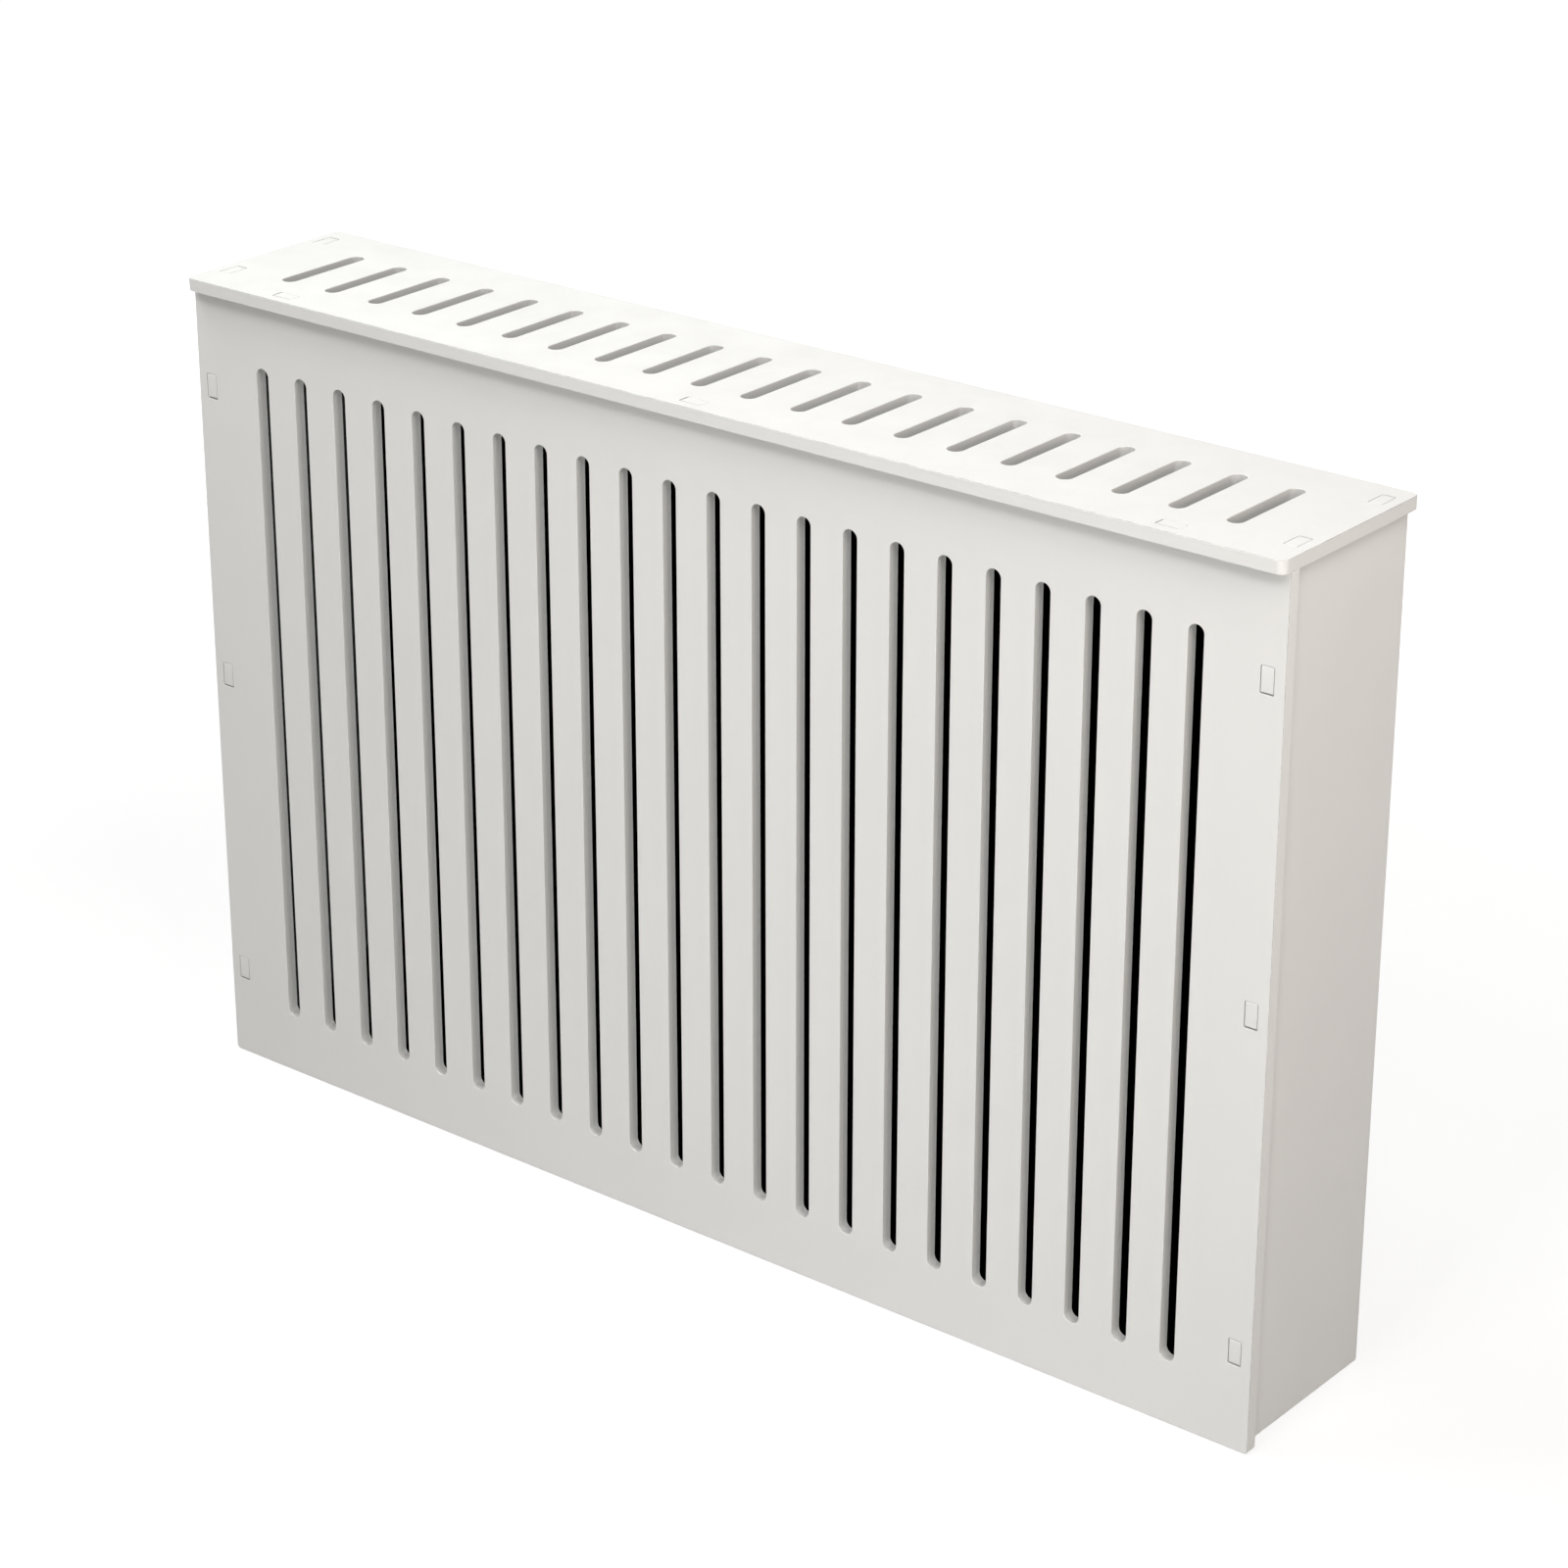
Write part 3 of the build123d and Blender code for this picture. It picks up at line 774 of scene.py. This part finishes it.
def withTabs(start, end, tabPlaces):
    # one side of a board, with tabs that stand out to its right by the thickness of a board, each as two
    # root and two tip corners
    start, end = np.array(start, float), np.array(end, float)
    along = (end - start) / np.linalg.norm(end - start)
    out = np.array([along[1], -along[0]]) * board
    half = along * tabs["length"] / 2
    root, tip = (tabs["rootRadius"], tabs["rim"]), (tabs["tipRadius"], tabs["rim"])
    corners = []
    for run in sorted(float((np.array(place, float) - start) @ along) for place in tabPlaces):
        a, b = start + along * run - half, start + along * run + half
        corners += [(*a, *root), (*(a + out), *tip), (*(b + out), *tip), (*b, *root)]
    return corners


def mortise(u, v, rim, lengthAlongU=False):
    size = [board + 2 * mortises["gap"], tabs["length"] + 2 * mortises["gap"]]
    wide, high = size[::-1] if lengthAlongU else size
    return roundedHole((u, v), wide, high, mortises["radius"], rim, mortises["steps"])


def slotRow(panel, foot, length):
    # slots of one length, evenly divided between the end margins at about the wanted pitch
    end = width / 2 - panel["endMargin"]
    gaps = round(2 * end / panel["slotPitch"])
    across, middle = panel["slotWidth"], foot + length / 2
    return [roundedHole((x, middle), across, length, across / 2, panel["slotRim"], panel["slotSteps"],
                        routed=panel["slotBareAndShade"], backShare=panel["slotBackShare"])
            for x in np.linspace(-end, end, gaps + 1)]


frontPanel = {
    "slotWidth": 11.2, "slotPitch": 36.8, "endMargin": 63.0, "foot": 45.0, "head": 46.9, "slotSteps": 20,
    "rim": 0.45, "slotRim": 0.45, "lowerCorner": 3.0, "upperCorner": 1.1, "backShare": 0.45,
    # the walls' darker tone at the show face and at the back: painted shade with bare board, strongest by the
    # show face
    "slotBackShare": 1.2, "slotBareAndShade": (1.0, 0.0),
}


def makeFrontPanel(panel):
    half, top = width / 2, bodyHeight
    low, high = (panel["lowerCorner"], panel["rim"]), (panel["upperCorner"], panel["rim"])
    outer = [(-half, 0, *low), (half, 0, *low), (half, top, *high)]
    outer += withTabs((half, top), (-half, top), [(x, top) for x in tabs["frontPlaces"]])
    outlines = [closedOutline(outer + [(-half, top, *high)])]
    outlines += slotRow(panel, panel["foot"], top - panel["foot"] - panel["head"])
    outlines += [mortise(hand * sideMiddle + mortises["shift"][0], z, mortises["rim"])
                 for hand in (-1, 1) for z in tabs["sideHeights"]]
    points, faces, masks = boardSurface(outlines, board, panel["backShare"])
    makePiece("frontPanelBoard", placed(points, (0, frontLow[1] * mm, 0), (1, 0, 0), (0, 0, 1)), faces, masks,
              paintedBoard, "front_panel")


topPanel = {
    "slotWidth": 11.2, "slotPitch": 41.0, "endMargin": 60.5, "frontMargin": 36.7, "rearMargin": 37.5,
    "slotSteps": 20, "corner": 6.0, "rim": 0.6, "underRim": 0.3, "slotRim": 0.45, "backShare": 0.3,
    # the slot walls' darker tone deepens toward the underside, and a little lies on the cut edge: painted
    # shade with bare board. The painted edge shade lies on the upper arris alone
    "slotBackShare": 0.3, "slotBareAndShade": (0.5, 0.9), "edgeBareAndShade": (0.12, 0.12), "edgeShadeSides": (1, 0),
}


def makeTopPanel(panel):
    half, front, rear = width / 2, lidLow[1], lidHigh[1]
    corners = [(-half, front), (half, front), (half, rear), (-half, rear)]
    outer = closedOutline([(*c, panel["corner"], panel["rim"]) for c in corners])
    outer.update(backShare=panel["underRim"] / panel["rim"], routed=panel["edgeBareAndShade"], edge=panel["edgeShadeSides"])
    foot = front + panel["frontMargin"]
    outlines = [outer] + slotRow(panel, foot, rear - panel["rearMargin"] - foot)
    shiftX, shiftY = mortises["shift"]
    outlines += [mortise(hand * sideMiddle + shiftX, y + shiftY, mortises["lidRim"])
                 for hand in (-1, 1) for y in tabs["sideTopPlaces"]]
    outlines += [mortise(x + mortises["endShift"], frontMiddle, mortises["lidRim"], True)
                 for x in tabs["frontPlaces"]]
    points, faces, masks = boardSurface(outlines, board, panel["backShare"])
    makePiece("topPanelBoard", placed(points, (0, 0, lidHigh[2] * mm), (1, 0, 0), (0, 1, 0)), faces, masks,
              paintedBoard, "top_panel")


sidePanel = {"rim": 0.4, "corner": 1.1, "backShare": 0.7}


def makeSidePanel(panel, hand, name, node):
    # drawn in (y, z) as seen from outside the right end. Seen from outside the left end, y runs backwards
    # and so does the outline
    front, rear, top = frontHigh[1], rearEdge, bodyHeight
    eased = (panel["corner"], panel["rim"])
    outer = [(front, 0, *eased), (rear, 0, *eased), (rear, top, *eased)]
    outer += withTabs((rear, top), (front, top), [(y, top) for y in tabs["sideTopPlaces"]])
    outer += [(front, top, *eased)]
    outer += withTabs((front, top), (front, 0), [(front, z + tabs["lift"]) for z in tabs["sideHeights"]])
    if hand < 0:
        outer = [(-u, *rest) for u, *rest in outer[1::-1] + outer[:1:-1]]
    points, faces, masks = boardSurface([closedOutline(outer)], board, panel["backShare"])
    makePiece(name, placed(points, (hand * rightHigh[0] * mm, 0, 0), (0, hand, 0), (0, 0, 1)), faces, masks,
              paintedBoard, node)


makeFrontPanel(frontPanel)
makeTopPanel(topPanel)
makeSidePanel(sidePanel, 1, "rightSideBoard", "side_panel_right")
makeSidePanel(sidePanel, -1, "leftSideBoard", "side_panel_left")
print("panels made")


battens = {"bevel": 3.0, "arris": 0.8, "endRim": 0.4, "steps": 5}


def makeBatten(shape, name, node, along, up, freeCorner):
    # a square section with three eased edges and one broad bevel, carried along the batten's length
    low, high = inMm(node)
    along, up = np.array(along, float), np.array(up, float)
    lengthWay = -np.cross(along, up)
    half = [abs(float((high - low) @ axis)) / 2 for axis in (along, up)]
    length = abs(float((high - low) @ lengthWay))
    corners = []
    for u, v in ((-1, -1), (1, -1), (1, 1), (-1, 1)):
        steps = [(0, 0)]
        if (u, v) == freeCorner:
            steps = [(0, -v), (-u, 0)] if u * v > 0 else [(-u, 0), (0, -v)]
        for step in steps:
            spot = np.multiply((u, v), half) + np.multiply(step, shape["bevel"])
            corners.append((*spot, shape["arris"], shape["endRim"]))
    points, faces, masks = boardSurface([closedOutline(corners, shape["steps"])], length, 1.0)
    masks["section"] = points * mm
    origin = ((low + high) / 2 - lengthWay * length / 2) * mm
    makePiece(name, placed(points, origin, along, up), faces, masks, paintedBatten, node)


# seen along each batten from its show end: across, up, and the corner that stands free
makeBatten(battens, "rightCornerBatten", "batten_front_right", (1, 0, 0), (0, 1, 0), (-1, 1))
makeBatten(battens, "leftCornerBatten", "batten_front_left", (1, 0, 0), (0, 1, 0), (1, 1))
makeBatten(battens, "rightTopBatten", "batten_top_right", (1, 0, 0), (0, 0, 1), (-1, -1))
makeBatten(battens, "leftTopBatten", "batten_top_left", (1, 0, 0), (0, 0, 1), (1, -1))
makeBatten(battens, "frontTopBatten", "batten_top_front", (0, 1, 0), (0, 0, 1), (1, -1))
print("battens made")


bracket = {
    "width": 20.0, "thickness": 2.0, "bend": 1.0, "endRadius": 3.0, "rim": 0.3, "hold": 0.1, "legTip": 8.0,
    "screwReaches": (10.0, 22.0), "screwHole": 3.9, "countersink": 6.5, "sinkBackShare": 0.1, "wallHole": 5.0,
    "bendSteps": 10, "cornerSteps": 8, "holeSteps": 12, "rimSteps": 4,
}


def roundHole(run, across, rim, steps, **looks):
    return roundedHole((run, 0), across, across, across / 2, rim, steps, **looks)


def makeBracket(shape, hand, name, node):
    # drawn flat as (run, across, depth), then folded: short leg, a quarter circle of radius bend + depth,
    # long leg. Folded, a is the way in from the side panel and b the way in from the wall.
    low, high = inMm(node)
    thick, inner, rim = shape["thickness"], shape["bend"], shape["rim"]
    turnAt = inner + thick                                     # both legs start this far from the heel
    longRun, shortRun = (high - low)[:2] - turnAt
    bendRun = (inner + thick / 2) * math.pi / 2
    longStart = shortRun + bendRun
    whole = longStart + longRun
    half, end = shape["width"] / 2, (shape["endRadius"], rim)
    folds = np.linspace(shortRun, longStart, shape["bendSteps"] + 1).tolist()
    outer = [(0, -half, *end)] + [(fold, -half, 0, rim) for fold in folds] + [(whole, -half, *end)]
    outer += [(whole, half, *end)] + [(fold, half, 0, rim) for fold in folds[::-1]] + [(0, half, *end)]
    outlines = [closedOutline(outer, shape["cornerSteps"])]
    sink = (shape["countersink"] - shape["screwHole"]) / 2
    for reach in shape["screwReaches"]:
        outlines.append(roundHole(shortRun + turnAt - reach, shape["screwHole"], sink, shape["holeSteps"],
                                  cone=True, backShare=shape["sinkBackShare"]))
    outlines.append(roundHole(whole - shape["legTip"], shape["wallHole"], rim, shape["holeSteps"]))
    points, faces, masks = boardSurface(outlines, thick, 1.0, shape["hold"], shape["rimSteps"], folds)
    run, across, depth = points.T
    angle = np.clip((run - shortRun) / bendRun, 0, 1) * math.pi / 2
    a = turnAt - (inner + depth) * np.cos(angle) + np.maximum(run - longStart, 0)
    b = turnAt - (inner + depth) * np.sin(angle) + np.maximum(shortRun - run, 0)
    heelX, heelY, heelZ = hand * rightLow[0], rearEdge, (low[2] + high[2]) / 2
    folded = np.stack([heelX - hand * a, heelY - b, heelZ - hand * across], -1) * mm
    makePiece(name, folded, faces, masks, zincSteel, node)


screw = {
    "diameter": 3.5, "head": 6.5, "headRise": 0.12, "headEdge": 0.12, "length": 9.1, "point": 2.0, "tip": 0.8,
    "pitch": 1.35, "threadDepth": 0.35, "threadWidth": 0.22, "threadRunIn": 0.8,
    "recessTurn": 0.5, "recessReach": 1.75, "recessDepth": 1.35, "recessRise": 0.35, "armWidth": 0.621,
    "endFade": 0.55, "sideFade": 0.4,
    "rubDepth": 0.06, "rubWidth": 0.12, "rubReach": 0.3,
    "columns": 96, "faceRows": 22, "coneRows": 6, "shankRows": 44, "pointRows": 10,
    "rimDepths": (0.02, 0.1, 0.2), "land": 0.1, "coneStart": 0.25, "rowGap": 0.1,
}


def ease(x):
    # from 0 to 1 as x goes from 0 to 1, flat at both ends: x squared times (3 - 2 x)
    x = np.clip(x, 0, 1)
    return x ** 2 * (3 - 2 * x)


def screwSurface(shape):
    # turned on its axis: radius is a function of depth and angle. The head's face dips by the deeper of
    # two crossing arms, each falling off smoothly to its sides and end; the thread is a ridge where
    # depth / pitch - angle / 360 degrees is whole
    angle = np.linspace(0, 2 * np.pi, shape["columns"], endpoint=False)[None]
    cosine, sine = np.cos(angle + shape["recessTurn"]), np.sin(angle + shape["recessTurn"])
    headRadius = shape["head"] / 2
    core = shape["diameter"] / 2 - shape["threadDepth"]
    radial = np.linspace(0, 1, shape["faceRows"])[:, None] * (headRadius - shape["headEdge"])
    x, y = radial * cosine, radial * sine
    arm = lambda p, q: (ease((shape["recessReach"] - np.abs(p)) / shape["endFade"])
                        * ease((shape["armWidth"] - np.abs(q)) / shape["sideFade"]))
    shallower = 1 - shape["recessRise"] * radial / headRadius
    dip = np.maximum(arm(x, y), arm(y, x)) * shape["recessDepth"] * shallower
    dome = -shape["headRise"] * (1 - (radial / headRadius) ** 2)
    faceRows = np.stack([x, y, dip + dome], -1)
    coneDepth, shankEnd, gap = headRadius - core, shape["length"] - shape["point"], shape["rowGap"]
    runs = ((shape["coneStart"], coneDepth, shape["coneRows"]),
            (coneDepth + gap, shankEnd, shape["shankRows"]),
            (shankEnd + gap, shape["length"], shape["pointRows"]))
    depth = np.concatenate([shape["rimDepths"]] + [np.linspace(*run) for run in runs])[:, None]
    taper = np.clip((shape["length"] - depth) / shape["point"], 0, 1)
    shank = core * taper + shape["tip"] / 2 * (1 - taper)
    coreRadius = np.where(depth < coneDepth, headRadius - np.maximum(depth - shape["land"], 0), shank)
    phase = depth / shape["pitch"] - angle / (2 * np.pi)
    crest = np.clip(1 - np.abs(phase - np.round(phase)) / shape["threadWidth"], 0, 1)
    runIn = np.clip((depth - coneDepth) / shape["threadRunIn"], 0, 1)
    radius = coreRadius + crest * shape["threadDepth"] * taper * runIn
    grid = np.concatenate([faceRows[1:], np.stack([radius * cosine, radius * sine, depth + 0 * angle], -1)])
    index = np.arange(grid[..., 0].size).reshape(grid.shape[:2])
    points = np.concatenate([grid.reshape(-1, 3), [[0, 0, faceRows[0, 0, 2]], [0, 0, shape["length"]]]])
    first, last, middle = index[0], index[-1], np.full(shape["columns"], index.size)
    caps = np.concatenate([np.stack([middle, first, np.roll(first, -1)], -1),
                           np.stack([middle + 1, np.roll(last, -1), last], -1)])
    # the rubbed rim is a narrow bell over the depth, round the edge of the head alone
    outside = np.hypot(points[:, 0], points[:, 1]) > headRadius - shape["rubReach"]
    rim = np.exp(-((points[:, 2] - shape["rubDepth"]) / shape["rubWidth"]) ** 2) * outside
    return points, gridQuads(index), caps, rim


def makeBracketScrews(shape):
    low, high = inMm("wall_bracket_screws")
    points, quads, caps, rim = screwSurface(shape)
    everyPoint, everyFace, everyRim = [], [], []
    for hand in (-1, 1):
        for reach in bracket["screwReaches"]:
            face = hand * (rightLow[0] - bracket["thickness"])
            spot = np.array([face, rearEdge - reach, (low[2] + high[2]) / 2]) * mm
            start = len(points) * len(everyPoint)
            everyFace += (quads + start).tolist() + (caps + start).tolist()
            everyPoint.append(placed(points, spot, (0, -hand, 0), (0, 0, 1)))
            everyRim.append(rim)
    masks = {"arris": np.concatenate(everyRim)}
    makePiece("bracketScrews", np.concatenate(everyPoint), everyFace, masks, screwSteel,
              "wall_bracket_screws")


makeBracket(bracket, 1, "rightWallBracket", "wall_bracket_right")
makeBracket(bracket, -1, "leftWallBracket", "wall_bracket_left")
makeBracketScrews(screw)
print("brackets and screws made")
